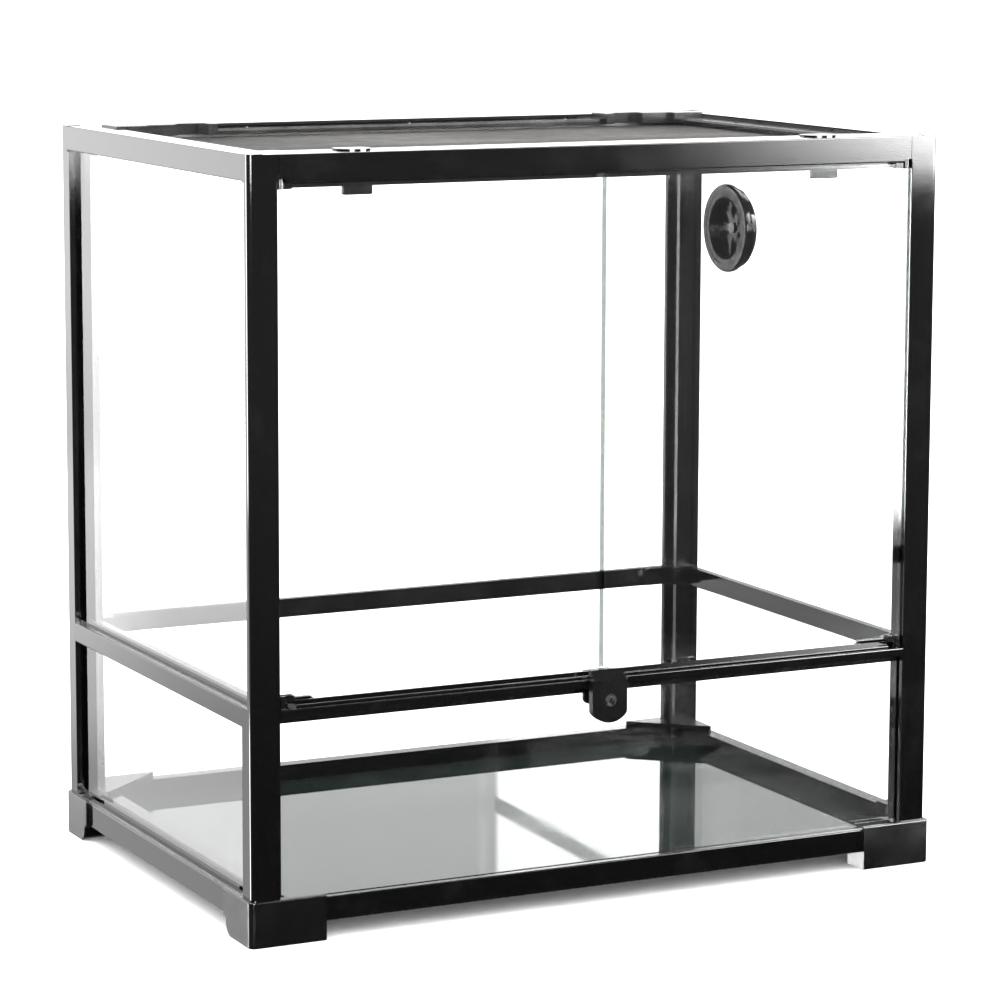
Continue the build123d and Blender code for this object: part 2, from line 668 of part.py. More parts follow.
def make_top_rail(side):
    """A hollow top rail with a pane groove, a flat flange and a ledge for the screen."""
    with BuildPart() as rail:
        if side == "back":
            half = WIDTH / 2 - TOP_CORNER_WIDTH
            along(side, top_section(TOP_FLANGE), -half, half, chamber=TOP_CHAMBER)
            ledge_half = WIDTH / 2 - TOP_FLANGE - LEDGE_REACH - TONGUE_PLAY
            along(side, ledge_section(TOP_FLANGE), -ledge_half, ledge_half)
        else:
            half = DEPTH / 2 - TOP_CORNER_DEPTH - 0.1
            along(side, top_section(TOP_FLANGE), -half, half, chamber=TOP_CHAMBER)
            front_end = FRONT_FLANGE + TONGUE_PLAY - DEPTH / 2
            back_end = DEPTH / 2 - TOP_FLANGE - TONGUE_PLAY
            along(side, ledge_section(TOP_FLANGE), front_end, back_end)
        axis, point = outer_edge(side)
        round_near(rail, axis, [(*point, TOP_RAIL_LOW), (*point, HEIGHT)], EDGE_RADIUS)
    save(rail, f"top_rail_{side}")


def make_front_top_rail():
    """The wide front top rail: door lip, pivot holes and pockets for the screen locks."""
    section = [
        (0, POST_TOP),
        (DOOR_LIP[0], POST_TOP),
        (DOOR_LIP[0], DOOR_LIP[2]),
        (DOOR_LIP[1], DOOR_LIP[2]),
        (DOOR_LIP[1], LEDGE_HEIGHTS[0]),
        (FRONT_FLANGE, LEDGE_HEIGHTS[0]),
        (FRONT_FLANGE, HEIGHT),
        (0, HEIGHT),
    ]
    half = WIDTH / 2 - TOP_CORNER_WIDTH
    ledge_half = half - LEDGE_REACH - TONGUE_PLAY
    with BuildPart() as rail:
        along("front", section, -half, half, chamber=FRONT_CHAMBER)
        along("front", ledge_section(FRONT_FLANGE), -ledge_half, ledge_half)
        face = -DEPTH / 2
        round_near(rail, Axis.X, [(0, face, POST_TOP), (0, face, HEIGHT)], EDGE_RADIUS)
        line_low, line_height, line_depth = FACE_LINE
        line_start = (-half, face, line_low)
        block(line_start, (half, face + line_depth, line_low + line_height), Mode.SUBTRACT)
        for sign in (-1, 1):
            corner = (sign, -1)
            pocket_u, pocket_v = (TOP_CORNER_WIDTH, PIVOT_POCKET[0]), (0, PIVOT_POCKET[1])
            pocket_heights = (POST_TOP, PIVOT_POCKET_ROOF)
            corner_block(corner, pocket_u, pocket_v, pocket_heights, Mode.SUBTRACT)
            x, y = inward_point(corner, *PIVOT)
            upright_hole(x, y, POST_TOP, PIVOT_HOLE_TOP, PIN_RADIUS + PIN_PLAY)
            x, y = sign * KNOB_X, KNOB_INWARD - DEPTH / 2
            upright_hole(x, y, KNOB_POCKET_FLOOR, HEIGHT, KNOB_RADIUS + KNOB_PLAY)
            upright_hole(x, y, LEDGE_HEIGHTS[0], KNOB_POCKET_FLOOR, STEM_RADIUS + PIN_PLAY)
    save(rail, "top_rail_front")


# ---------------------------------------------------------------- doors


def make_door(side, sign):
    """One hinged glass door and the two pivot shoes clipped to its outer corners."""
    corner = (sign, -1)
    low, high = DOOR_HEIGHTS
    with BuildPart() as pane:
        corner_block(corner, (DOOR_EDGE, WIDTH / 2 - DOOR_HALF_GAP), DOOR_PANE, (low, high))
        chamfer(pane.edges().filter_by(Axis.X), PANE_EDGE_BREAK)
    save(pane, f"door_glass_{side}")
    x, y = inward_point(corner, *PIVOT)
    clip = (DOOR_PANE[0] - SHOE_PLATE, DOOR_PANE[1] + SHOE_PLATE)
    slab = ((0, WIDTH / 2), DOOR_PANE)
    with BuildPart() as shoes:
        for foot, neck, rim in (SHOE_BOTTOM, SHOE_TOP):
            tip = PIN_TIPS[0] if foot < neck else PIN_TIPS[1]
            upright_pin(x, y, min(foot, rim), max(foot, rim), BARREL_RADIUS)
            upright_pin(x, y, min(foot, tip), max(foot, tip), PIN_RADIUS)
            corner_block(corner, (PIVOT[0], SHOE_END), clip, (min(neck, rim), max(neck, rim)))
        corner_block(corner, *slab, (low, high), Mode.SUBTRACT)
    save(shoes, f"door_hinges_{side}")


# ---------------------------------------------------------------- lock


def shield(half_width, low, arc_start, front, back):
    """A plate on the front, square above and bellied below, between two inward distances."""
    with BuildSketch(fore_plane(back)) as profile:
        with BuildLine():
            belly = ThreePointArc((-half_width, arc_start), (0, low), (half_width, arc_start))
            top = [(half_width, MID_RAIL_TOP), (-half_width, MID_RAIL_TOP)]
            Polyline(belly @ 1, *top, belly @ 0)
        make_face()
    extrude(profile.sketch, amount=back - front)


def make_lock_body():
    """The lock's case on the front rail: rounded below, a sloped shoulder above."""
    side, front, back = LOCK_HALF_WIDTH, LOCK_FRONT, LOCK_BACK
    rear = -DEPTH / 2
    with BuildPart() as case:
        shield(side, LOCK_LOW, LOCK_ARC_START, front, back)
        shield(LOCK_REAR_HALF_WIDTH, LOCK_REAR_LOW, LOCK_REAR_ARC_START, back, 0)
        edges = [(x, front + rear, MID_RAIL_TOP - 5) for x in (-side, side)]
        round_near(case, Axis.Z, edges, 1.5)
        shoulder = [(front, MID_RAIL_TOP), (back, SHOULDER_TOP), (0, SHOULDER_TOP), (0, MID_RAIL_TOP)]
        along("front", shoulder, -SHOULDER_HALF_WIDTH, SHOULDER_HALF_WIDTH)
        channel = LATCH_HALF_WIDTH + 0.3
        cavity = LATCH_FOOT_HALF_WIDTH + 0.3
        floor, roof = LOCK_CAVITY
        block((-channel, rear + back, LOCK_CHANNEL_LOW), (channel, rear, SHOULDER_TOP), Mode.SUBTRACT)
        block((-cavity, rear + back, floor), (cavity, rear, roof), Mode.SUBTRACT)
        bore = CYLINDER_RADIUS + PIN_PLAY
        fore_bar(0, CYLINDER_HEIGHT, bore, (front, back), Mode.SUBTRACT)
        for sign in (-1, 1):
            hole = LOCK_SCREW_RADIUS + LOCK_SCREW_PLAY
            reach = (SCREW_REACH[0] - 0.2, 0)
            fore_bar(sign * LOCK_SCREW_X, LOCK_SCREW_HEIGHT, hole, reach, Mode.SUBTRACT)
    save(case, "lock_body")


def make_lock_cylinder():
    """The key cylinder, which turns in the case and carries the latch's crank pin."""
    front, back = CYLINDER_DEPTHS
    ring_outer, ring_inner, key_width, key_height = KEYWAY
    with BuildPart() as cylinder:
        fore_bar(0, CYLINDER_HEIGHT, CYLINDER_RADIUS, CYLINDER_DEPTHS)
        face = cylinder.faces().sort_by(Axis.Y)[0]
        chamfer(face.edges(), 0.5)
        with BuildSketch(fore_plane(KEYWAY_FLOOR)):
            with Locations((0, CYLINDER_HEIGHT)):
                Circle(ring_outer)
                Circle(ring_inner, mode=Mode.SUBTRACT)
                Rectangle(key_width, key_height)
        extrude(amount=KEYWAY_FLOOR - front, mode=Mode.SUBTRACT)
        pin_height = CYLINDER_HEIGHT - CRANK
        fore_bar(CRANK, pin_height, CRANK_PIN_RADIUS, (back, CRANK_PIN_BACK))
    save(cylinder, "lock_cylinder")


def make_latch():
    """The sliding latch, lifted by the crank pin in its slot to stand in front of both doors."""
    front, back = (inward - DEPTH / 2 for inward in LATCH_PLATE)
    foot, neck = LATCH_FOOT_HALF_WIDTH, LATCH_HALF_WIDTH
    low, high = LATCH_FOOT
    pin_height = CYLINDER_HEIGHT - CRANK
    slot_start, slot_end, slot_half = LATCH_SLOT
    with BuildPart() as latch:
        block((-foot, front, low), (foot, back, high))
        block((-neck, front, high), (neck, back, LATCH_TOP))
        block((-neck, front, LATCH_HOOK_LOW), (neck, LATCH_HOOK_BACK - DEPTH / 2, LATCH_TOP))
        slot_low = (slot_start, front, pin_height - slot_half)
        slot_high = (slot_end, back, pin_height + slot_half)
        block(slot_low, slot_high, Mode.SUBTRACT)
    save(latch, "latch")


def make_lock_back_plate():
    """The plate behind the rail that the lock's screws pull against."""
    width, height, middle = BACK_PLATE_SIZE
    with BuildPart() as plate:
        with BuildSketch(fore_plane(BACK_PLATE[1])):
            with Locations((0, middle)):
                Rectangle(width, height)
        extrude(amount=BACK_PLATE[1] - BACK_PLATE[0])
        low = middle - height / 2
        back = BACK_PLATE[1] - DEPTH / 2
        round_near(plate, Axis.Y, [(x, back, low) for x in (-width / 2, width / 2)], BACK_PLATE_RADIUS)
        for sign in (-1, 1):
            hole = LOCK_SCREW_RADIUS + LOCK_SCREW_PLAY
            fore_bar(sign * LOCK_SCREW_X, LOCK_SCREW_HEIGHT, hole, BACK_PLATE, Mode.SUBTRACT)
    save(plate, "lock_back_plate")


def make_lock_screws():
    """Two screws from the back plate through the rail into the lock's case."""
    start, end, radius = SCREW_HEAD
    with BuildPart() as screws:
        for sign in (-1, 1):
            x = sign * LOCK_SCREW_X
            fore_bar(x, LOCK_SCREW_HEIGHT, LOCK_SCREW_RADIUS, SCREW_REACH)
            fore_bar(x, LOCK_SCREW_HEIGHT, radius, (start, end))
    save(screws, "lock_screws")


# ---------------------------------------------------------------- ventilator


def vent_disc(low, high, radius, bore=0.0, mode=Mode.ADD):
    """A disc or ring about the ventilator's axis, between two x values."""
    with BuildSketch(Plane((low, VENT_Y, VENT_Z), x_dir=(0, 1, 0), z_dir=(1, 0, 0))) as profile:
        Circle(radius)
        if bore:
            Circle(bore, mode=Mode.SUBTRACT)
    extrude(profile.sketch, amount=high - low, mode=mode)


def vent_windows(low, high, inner, outer, share, turn=0):
    """Cut fan-shaped windows about the ventilator's axis; share is how much of the circle is open."""
    sweep = 360 / VENT_SPOKES * share
    with BuildSketch(Plane((low, VENT_Y, VENT_Z), x_dir=(0, 1, 0), z_dir=(1, 0, 0))) as profile:
        for number in range(VENT_SPOKES):
            start = 360 / VENT_SPOKES * number - sweep / 2 + turn
            with BuildLine():
                rim = CenterArc((0, 0), outer, start, sweep)
                hub = CenterArc((0, 0), inner, start, sweep)
                Line(rim @ 0, hub @ 0)
                Line(rim @ 1, hub @ 1)
            make_face()
    extrude(profile.sketch, amount=high - low, mode=Mode.SUBTRACT)


def make_vent():
    """The round ventilator through the right pane: body, clamp ring, shutter and its rivet."""
    glass_in = WIDTH / 2 - PANE[1]
    glass_out = WIDTH / 2 - PANE[0]
    flange_end = glass_out + VENT_FLANGE_DEPTH
    hub, rim, share = VENT_WINDOW
    hole = PIN_RADIUS + PIN_PLAY
    with BuildPart() as body:
        vent_disc(glass_out, flange_end, VENT_FLANGE_RADIUS, VENT_BORE_RADIUS)
        vent_disc(VENT_TUBE_START, glass_out, VENT_TUBE_RADIUS, VENT_BORE_RADIUS)
        vent_disc(flange_end, VENT_PLATE[1], VENT_TUBE_RADIUS, VENT_BORE_RADIUS)
        vent_disc(*VENT_PLATE, VENT_BORE_RADIUS + 0.5)
        vent_windows(*VENT_PLATE, hub, rim, share)
        vent_disc(*VENT_PLATE, hole, mode=Mode.SUBTRACT)
        start = (VENT_TUBE_START, VENT_Y, VENT_Z)
        with BuildSketch(Plane(start, x_dir=(0, 1, 0), z_dir=(1, 0, 0))):
            with PolarLocations(VENT_BORE_RADIUS, VENT_SCALLOPS):
                Circle(VENT_SCALLOP_RADIUS)
        extrude(amount=VENT_SCALLOP_DEPTH, mode=Mode.SUBTRACT)
    save(body, "vent_body")
    with BuildPart() as ring:
        vent_disc(glass_in - VENT_RING_DEPTH, glass_in, VENT_RING_RADIUS, VENT_RING_BORE)
        rims = ring.edges().filter_by(GeomType.CIRCLE).sort_by(Axis.X)[:2]
        fillet(rims.sort_by(SortBy.RADIUS)[-1], VENT_RING_ROUND)
    save(ring, "vent_ring")
    grip_front, grip_half, grip_near, grip_far = SHUTTER_GRIP
    with BuildPart() as shutter:
        vent_disc(*SHUTTER, SHUTTER_RADIUS)
        vent_windows(*SHUTTER, hub, rim, share, SHUTTER_CLOSED)
        vent_disc(*SHUTTER, hole, mode=Mode.SUBTRACT)
        for low, high in ((-grip_far, -grip_near), (grip_near, grip_far)):
            first = (grip_front, VENT_Y - grip_half, VENT_Z + low)
            block(first, (SHUTTER[0], VENT_Y + grip_half, VENT_Z + high))
    save(shutter, "vent_shutter")
    with BuildPart() as rivet:
        vent_disc(*RIVET_HEAD)
        vent_disc(RIVET_HEAD[1], RIVET_TAIL[0], PIN_RADIUS)
        vent_disc(*RIVET_TAIL)
    save(rivet, "vent_rivet")


# ---------------------------------------------------------------- screen


def screen_rebate():
    """Cut the step under the screen's frame that takes the mesh and its spline."""
    x = SCREEN_HALF_WIDTH - SCREEN_REBATE_INWARD
    low = (-x, SCREEN_FRONT + SCREEN_REBATE_INWARD, SCREEN_HEIGHTS[0])
    high = (x, SCREEN_BACK - SCREEN_REBATE_INWARD, SCREEN_REBATE_TOP)
    block(low, high, Mode.SUBTRACT)


def screen_stud(x, y):
    """A small round stud on top of the screen's frame."""
    upright_pin(x, y, SCREEN_HEIGHTS[1], SCREEN_HEIGHTS[1] + STUD_RISE, STUD_RADIUS)


def make_screen_rails():
    """The four straight bands of the screen's frame."""
    low, high = SCREEN_HEIGHTS
    outer, inner = SCREEN_HALF_WIDTH, SCREEN_HALF_WIDTH - SCREEN_BAND
    half = SCREEN_HALF_WIDTH - FRONT_CORNER_ARMS[0]
    with BuildPart() as front:
        block((-half, SCREEN_FRONT, low), (half, SCREEN_FRONT + SCREEN_BAND, high))
        screen_rebate()
        rims = [(0, SCREEN_FRONT, high), (0, SCREEN_FRONT + SCREEN_BAND, high)]
        round_near(front, Axis.X, rims, SCREEN_RIM_RADIUS)
    save(front, "screen_front_rail")
    half = SCREEN_HALF_WIDTH - BACK_CORNER_ARMS[0]
    with BuildPart() as back:
        block((-half, SCREEN_BACK - SCREEN_BAND, low), (half, SCREEN_BACK, high))
        screen_rebate()
        round_near(back, Axis.X, [(0, SCREEN_BACK, high)], SCREEN_RIM_RADIUS)
        bevel_near(back, Axis.X, [(0, SCREEN_BACK - SCREEN_BAND, high)], SCREEN_BEVEL)
        for x in STUDS_BACK:
            screen_stud(x, SCREEN_BACK - SCREEN_BAND / 2)
    save(back, "screen_back_rail")
    ends = (SCREEN_FRONT + FRONT_CORNER_ARMS[1], SCREEN_BACK - BACK_CORNER_ARMS[1])
    with BuildPart() as sides:
        block((-outer, ends[0], low), (-inner, ends[1], high))
        block((inner, ends[0], low), (outer, ends[1], high))
        screen_rebate()
        round_near(sides, Axis.Y, [(-outer, 0, high), (outer, 0, high)], SCREEN_RIM_RADIUS)
        bevel_near(sides, Axis.Y, [(-inner, 0, high), (inner, 0, high)], SCREEN_BEVEL)
        for y in STUDS_SIDE:
            for x in (-1, 1):
                screen_stud(x * (SCREEN_HALF_WIDTH - SCREEN_BAND / 2), y)
    save(sides, "screen_side_rails")


def make_screen_corners():
    """Four L-shaped corners; the back pair has a finger recess in its long arm."""
    low = SCREEN_HEIGHTS[0]
    start, end, recess = FINGER_RECESS
    front_end = (SCREEN_FRONT, 1, FRONT_CORNER_ARMS, FRONT_CORNER_TOP)
    back_end = (SCREEN_BACK, -1, BACK_CORNER_ARMS, BACK_CORNER_TOP)
    with BuildPart() as corners:
        for side in (-1, 1):
            for edge, away, arms, high in (front_end, back_end):
                outline = [
                    (0, 0),
                    (arms[0], 0),
                    (arms[0], CORNER_BAND),
                    (CORNER_BAND, CORNER_BAND),
                    (CORNER_BAND, arms[1]),
                    (0, arms[1]),
                ]
                points = [(side * (SCREEN_HALF_WIDTH - u), edge + away * v) for u, v in outline]
                with BuildSketch(Plane.XY.offset(low)):
                    with BuildLine():
                        Polyline(*points, close=True)
                    make_face()
                extrude(amount=high - low)
        for side in (-1, 1):
            near = side * (SCREEN_HALF_WIDTH - start)
            far = side * (SCREEN_HALF_WIDTH - end)
            y = SCREEN_BACK - CORNER_BAND
            low_point = (min(near, far), y, low)
            high_point = (max(near, far), y + recess, BACK_CORNER_TOP)
            block(low_point, high_point, Mode.SUBTRACT)
        screen_rebate()
    save(corners, "screen_corners")


def make_screen_mesh():
    """The mesh, held under the frame's step by a spline."""
    x = SCREEN_HALF_WIDTH - SCREEN_REBATE_INWARD - 0.2
    front = SCREEN_FRONT + SCREEN_REBATE_INWARD + 0.2
    back = SCREEN_BACK - SCREEN_REBATE_INWARD - 0.2
    with BuildPart() as mesh:
        block((-x, front, MESH_HEIGHTS[0]), (x, back, MESH_HEIGHTS[1]))
    save(mesh, "screen_mesh")
    width = SPLINE_WIDTH
    with BuildPart() as spline:
        block((-x, front, MESH_HEIGHTS[1]), (x, back, SCREEN_REBATE_TOP - 0.1))
        inner_low = (-x + width, front + width, MESH_HEIGHTS[1])
        inner_high = (x - width, back - width, SCREEN_REBATE_TOP)
        block(inner_low, inner_high, Mode.SUBTRACT)
    save(spline, "screen_spline")


# ---------------------------------------------------------------- screen locks


def make_screen_locks():
    """Two turning knobs in the front rail and the fixed bases that they turn in."""
    y = KNOB_INWARD - DEPTH / 2
    low, high = KNOB_HEIGHTS
    front = -DEPTH / 2
    base_half, base_near, base_far, base_low = LOCK_BASE
    tab_half, tab_near, tab_far, tab_low = LOCK_TAB
    slot_half, slot_side, slot_depth = KNOB_SLOT
    top = LEDGE_HEIGHTS[0]
    with BuildPart() as bases:
        for x in (-KNOB_X, KNOB_X):
            block((x - base_half, front + base_near, base_low), (x + base_half, front + base_far, top))
            block((x - tab_half, front + tab_near, tab_low), (x + tab_half, front + tab_far, base_low))
            upright_hole(x, y, base_low + 0.5, top, STEM_RADIUS + PIN_PLAY)
            middle = front + (tab_near + tab_far) / 2
            corners = [(x + side * tab_half, middle, tab_low) for side in (-1, 1)]
            round_near(bases, Axis.Y, corners, LOCK_TAB_RADIUS)
    save(bases, "screen_lock_bases")
    for side, x in (("left", -KNOB_X), ("right", KNOB_X)):
        with BuildPart() as knob:
            with BuildSketch(Plane.XY.offset(low)):
                with Locations((x, y)):
                    Circle(KNOB_RADIUS)
                with Locations((x, y + KNOB_FLAT + KNOB_RADIUS)):
                    Rectangle(2 * KNOB_RADIUS, 2 * KNOB_RADIUS, mode=Mode.SUBTRACT)
            extrude(amount=high - low)
            slot_low = (x - slot_half, y - slot_side, high - slot_depth)
            block(slot_low, (x + slot_half, y + slot_side, high), Mode.SUBTRACT)
            upright_pin(x, y, STEM_LOW, low, STEM_RADIUS)
        save(knob, f"screen_lock_{side}")


for name, corner in CORNERS.items():
    make_foot(name, corner)
    make_post("lower", name, corner)
    make_post("upper", name, corner)
    make_top_corner(name, corner)
for side in RUNS:
    make_bottom_rail(side)
for side in ("left", "right", "back"):
    make_mid_rail(side)
    make_top_rail(side)
for side in ("left", "right"):
    make_side_pane("lower", side)
    make_side_pane("upper", side, vent=side == "right")
make_cross_pane("lower", "front", LOWER_FRONT_PANE_TOP)
make_cross_pane("lower", "back", LOWER_PANE_TOP)
make_cross_pane("upper", "back", TOP_PANE_TOP)
make_base_glass()
make_front_mid_rail()
make_door_sill()
make_mid_connectors()
make_front_top_rail()
make_door("left", -1)
make_door("right", 1)
make_lock_body()
make_lock_cylinder()
make_latch()
make_lock_back_plate()
make_lock_screws()
make_vent()
make_screen_rails()
make_screen_corners()
make_screen_mesh()
make_screen_locks()
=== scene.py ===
import math

import bmesh
import bpy
from mathutils import Matrix, Vector


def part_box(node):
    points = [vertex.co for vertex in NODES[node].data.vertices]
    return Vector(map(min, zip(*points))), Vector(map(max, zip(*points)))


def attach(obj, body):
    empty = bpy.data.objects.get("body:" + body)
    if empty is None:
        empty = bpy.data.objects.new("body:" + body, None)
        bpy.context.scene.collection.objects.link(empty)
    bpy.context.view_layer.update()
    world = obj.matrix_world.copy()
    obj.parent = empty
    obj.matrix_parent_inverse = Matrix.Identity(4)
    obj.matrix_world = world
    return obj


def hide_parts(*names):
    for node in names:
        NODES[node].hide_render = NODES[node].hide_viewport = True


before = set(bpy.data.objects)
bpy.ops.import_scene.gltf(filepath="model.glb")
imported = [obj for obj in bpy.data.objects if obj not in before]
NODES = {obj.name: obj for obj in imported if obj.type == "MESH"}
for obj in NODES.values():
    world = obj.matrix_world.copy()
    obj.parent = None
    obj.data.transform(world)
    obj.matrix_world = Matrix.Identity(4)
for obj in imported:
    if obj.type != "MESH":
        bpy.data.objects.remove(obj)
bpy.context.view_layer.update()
MM = 0.001

# ------------------------------------------------------------------ camera

CAMERA_PLACE = Vector((-1.34735, -2.72403, 0.78490))
CAMERA_RIGHT = Vector((0.89566, -0.44474, 0.00329))
CAMERA_UP = Vector((0.06206, 0.13231, 0.98926))
CAMERA_BACK = Vector((-0.44040, -0.88583, 0.14611))
CAMERA_LENS = 133.83
CAMERA_SENSOR = 36.0
CAMERA_SHIFT_Y = -0.05


def make_camera():
    """A long lens, a little above the top and to the left of the doors."""
    data = bpy.data.cameras.new("camera")
    data.lens = CAMERA_LENS
    data.sensor_width = CAMERA_SENSOR
    data.shift_y = CAMERA_SHIFT_Y
    data.clip_end = 100.0
    camera = bpy.data.objects.new("camera", data)
    bpy.context.scene.collection.objects.link(camera)
    turn = Matrix((CAMERA_RIGHT, CAMERA_UP, CAMERA_BACK)).transposed().to_4x4()
    camera.matrix_world = Matrix.Translation(CAMERA_PLACE) @ turn
    bpy.context.scene.camera = camera


# ------------------------------------------------------------------ node helpers


class Graph:
    """A node tree with short calls for adding and joining nodes."""

    def __init__(self, tree):
        self.tree = tree
        tree.nodes.clear()

    def add(self, kind, inputs=None, **settings):
        node = self.tree.nodes.new(kind)
        for name, value in settings.items():
            setattr(node, name, value)
        for name, value in (inputs or {}).items():
            self.feed(node.inputs[name], value)
        return node

    def feed(self, socket, value):
        if isinstance(value, bpy.types.NodeSocket):
            self.tree.links.new(value, socket)
        else:
            socket.default_value = value

    def math(self, operation, first, second=0.0, clamp=False):
        node = self.add("ShaderNodeMath", {0: first, 1: second}, operation=operation)
        node.use_clamp = clamp
        return node.outputs[0]

    def ramp(self, value, low, high, start=0.0, end=1.0, smooth=True):
        kind = "SMOOTHSTEP" if smooth else "LINEAR"
        node = self.add(
            "ShaderNodeMapRange",
            {"Value": value, "From Min": low, "From Max": high, "To Min": start, "To Max": end},
            interpolation_type=kind,
        )
        return node.outputs["Result"]

    def noise(self, where, scale, detail=3.0, roughness=0.5, stretch=None):
        if stretch:
            where = self.add("ShaderNodeMapping", {"Vector": where, "Scale": stretch}).outputs[0]
        inputs = {"Vector": where, "Scale": scale, "Detail": detail, "Roughness": roughness}
        return self.add("ShaderNodeTexNoise", inputs).outputs["Fac"]


def new_material(name):
    material = bpy.data.materials.new(name)
    material.use_nodes = True
    return material, Graph(material.node_tree)


def end_surface(graph, shader):
    """Join a shader to a material's surface."""
    output = graph.add("ShaderNodeOutputMaterial")
    graph.tree.links.new(shader.outputs[0], output.inputs["Surface"])


def dress(material, *names):
    """Give CAD nodes one material."""
    for name in names:
        slots = NODES[name].material_slots
        if not slots:
            NODES[name].data.materials.append(material)
        for slot in slots:
            slot.material = material


# ------------------------------------------------------------------ materials

WHITE = (1.0, 1.0, 1.0, 1.0)
FRAME_TONE = (0.0022, 0.0021, 0.0022)
WORN_TONE = (0.0026, 0.0026, 0.0027)
FITTING_TONE = (0.0028, 0.0028, 0.0029)
SCREEN_TONE = (0.0048, 0.0044, 0.0042)
DUST_TONE = (0.55, 0.55, 0.54, 1.0)
GRAIN_DEPTH = 0.0002
METAL_GRAIN_DEPTH = 0.0001
PANE_CLEAR = (0.992, 0.997, 0.994, 1.0)
PANE_EDGE = (0.15, 0.17, 0.155, 1.0)
PANE_HAZE = (0.72, 0.76, 0.74, 1.0)
PANE_SOIL = 0.006
PANE_IOR = 1.52
# Painted shade: the base pane's near-black body colour stands in for the shaded floor under the cage
# seen through the glass.
BASE_PAINTED_SHADE_TONE = (0.010, 0.014, 0.0125, 1.0)
BASE_DUST_TONE = (0.55, 0.58, 0.56, 1.0)
BASE_IOR = 1.62

def moulded_plastic(name, tone, roughness, grain, dust=0.05, ior=1.5, stretch=None):
    """Black moulded plastic: fine surface grain, uneven gloss, faint handling smudges and dust."""
    material, graph = new_material(name)
    where = graph.add("ShaderNodeTexCoord").outputs["Object"]
    patches = graph.noise(where, 26.0, 5.0, 0.65)
    fine = graph.noise(where, 900.0, 2.0, 0.6, stretch)
    specks = graph.noise(where, 420.0, 1.0, 0.4)
    smudge = graph.ramp(patches, 0.52, 0.72)
    speck = graph.ramp(specks, 0.74, 0.78)
    dusty = graph.math(
        "MAXIMUM", graph.math("MULTIPLY", smudge, dust), graph.math("MULTIPLY", speck, dust)
    )
    colour = graph.add(
        "ShaderNodeMix",
        {0: dusty, 6: (*tone, 1.0), 7: DUST_TONE},
        data_type="RGBA",
    ).outputs[2]
    gloss = graph.ramp(patches, 0.3, 0.75, roughness * 0.85, roughness * 1.35)
    bump = graph.add(
        "ShaderNodeBump",
        {"Height": fine, "Strength": grain, "Distance": GRAIN_DEPTH},
    ).outputs["Normal"]
    shader = graph.add(
        "ShaderNodeBsdfPrincipled",
        {"Base Color": colour, "Roughness": gloss, "IOR": ior, "Normal": bump},
    )
    end_surface(graph, shader)
    return material


def plated_metal(name, tone, roughness):
    """Plated metal with fine turning marks."""
    material, graph = new_material(name)
    where = graph.add("ShaderNodeTexCoord").outputs["Object"]
    marks = graph.noise(where, 1600.0, 3.0, 0.6, (1.0, 0.2, 1.0))
    wear = graph.noise(where, 300.0, 4.0, 0.6)
    gloss = graph.ramp(wear, 0.3, 0.7, roughness * 0.7, roughness * 1.5)
    bump = graph.add(
        "ShaderNodeBump",
        {"Height": marks, "Strength": 0.15, "Distance": METAL_GRAIN_DEPTH},
    ).outputs["Normal"]
    shader = graph.add(
        "ShaderNodeBsdfPrincipled",
        {"Base Color": (*tone, 1.0), "Metallic": 1.0, "Roughness": gloss, "Normal": bump},
    )
    end_surface(graph, shader)
    return material


def fresnel(graph, ior):
    """How much a pane mirrors, the same from both of its faces."""
    behind = graph.add("ShaderNodeNewGeometry").outputs["Backfacing"]
    index = graph.ramp(behind, 0.0, 1.0, ior, 1.0 / ior, smooth=False)
    return graph.add("ShaderNodeFresnel", {"IOR": index}).outputs[0]


def pane_glass(name, axis):
    """Clear float glass for a pane across one of its own axes: dark green-grey at its edges."""
    material, graph = new_material(name)
    normal = graph.add("ShaderNodeTexCoord").outputs["Normal"]
    across = graph.add("ShaderNodeVectorMath", {0: normal, 1: axis}, operation="DOT_PRODUCT")
    flat = graph.math("ABSOLUTE", across.outputs["Value"])
    edge = graph.ramp(flat, 0.3, 0.7, 1.0, 0.0)
    where = graph.add("ShaderNodeTexCoord").outputs["Object"]
    film = graph.ramp(graph.noise(where, 14.0, 4.0, 0.7), 0.55, 0.85)
    clear = graph.add("ShaderNodeBsdfTransparent", {"Color": PANE_CLEAR})
    green = graph.add("ShaderNodeBsdfTransparent", {"Color": PANE_EDGE})
    haze = graph.add("ShaderNodeBsdfDiffuse", {"Color": PANE_HAZE, "Roughness": 0.5})
    body = graph.add("ShaderNodeMixShader", {0: edge, 1: clear.outputs[0], 2: green.outputs[0]})
    soiled = graph.math("MULTIPLY", film, PANE_SOIL)
    body = graph.add("ShaderNodeMixShader", {0: soiled, 1: body.outputs[0], 2: haze.outputs[0]})
    mirror = graph.add("ShaderNodeBsdfGlossy", {"Color": WHITE, "Roughness": 0.0})
    mix = graph.add(
        "ShaderNodeMixShader",
        {0: fresnel(graph, PANE_IOR), 1: body.outputs[0], 2: mirror.outputs[0]},
    )
    end_surface(graph, mix)
    return material


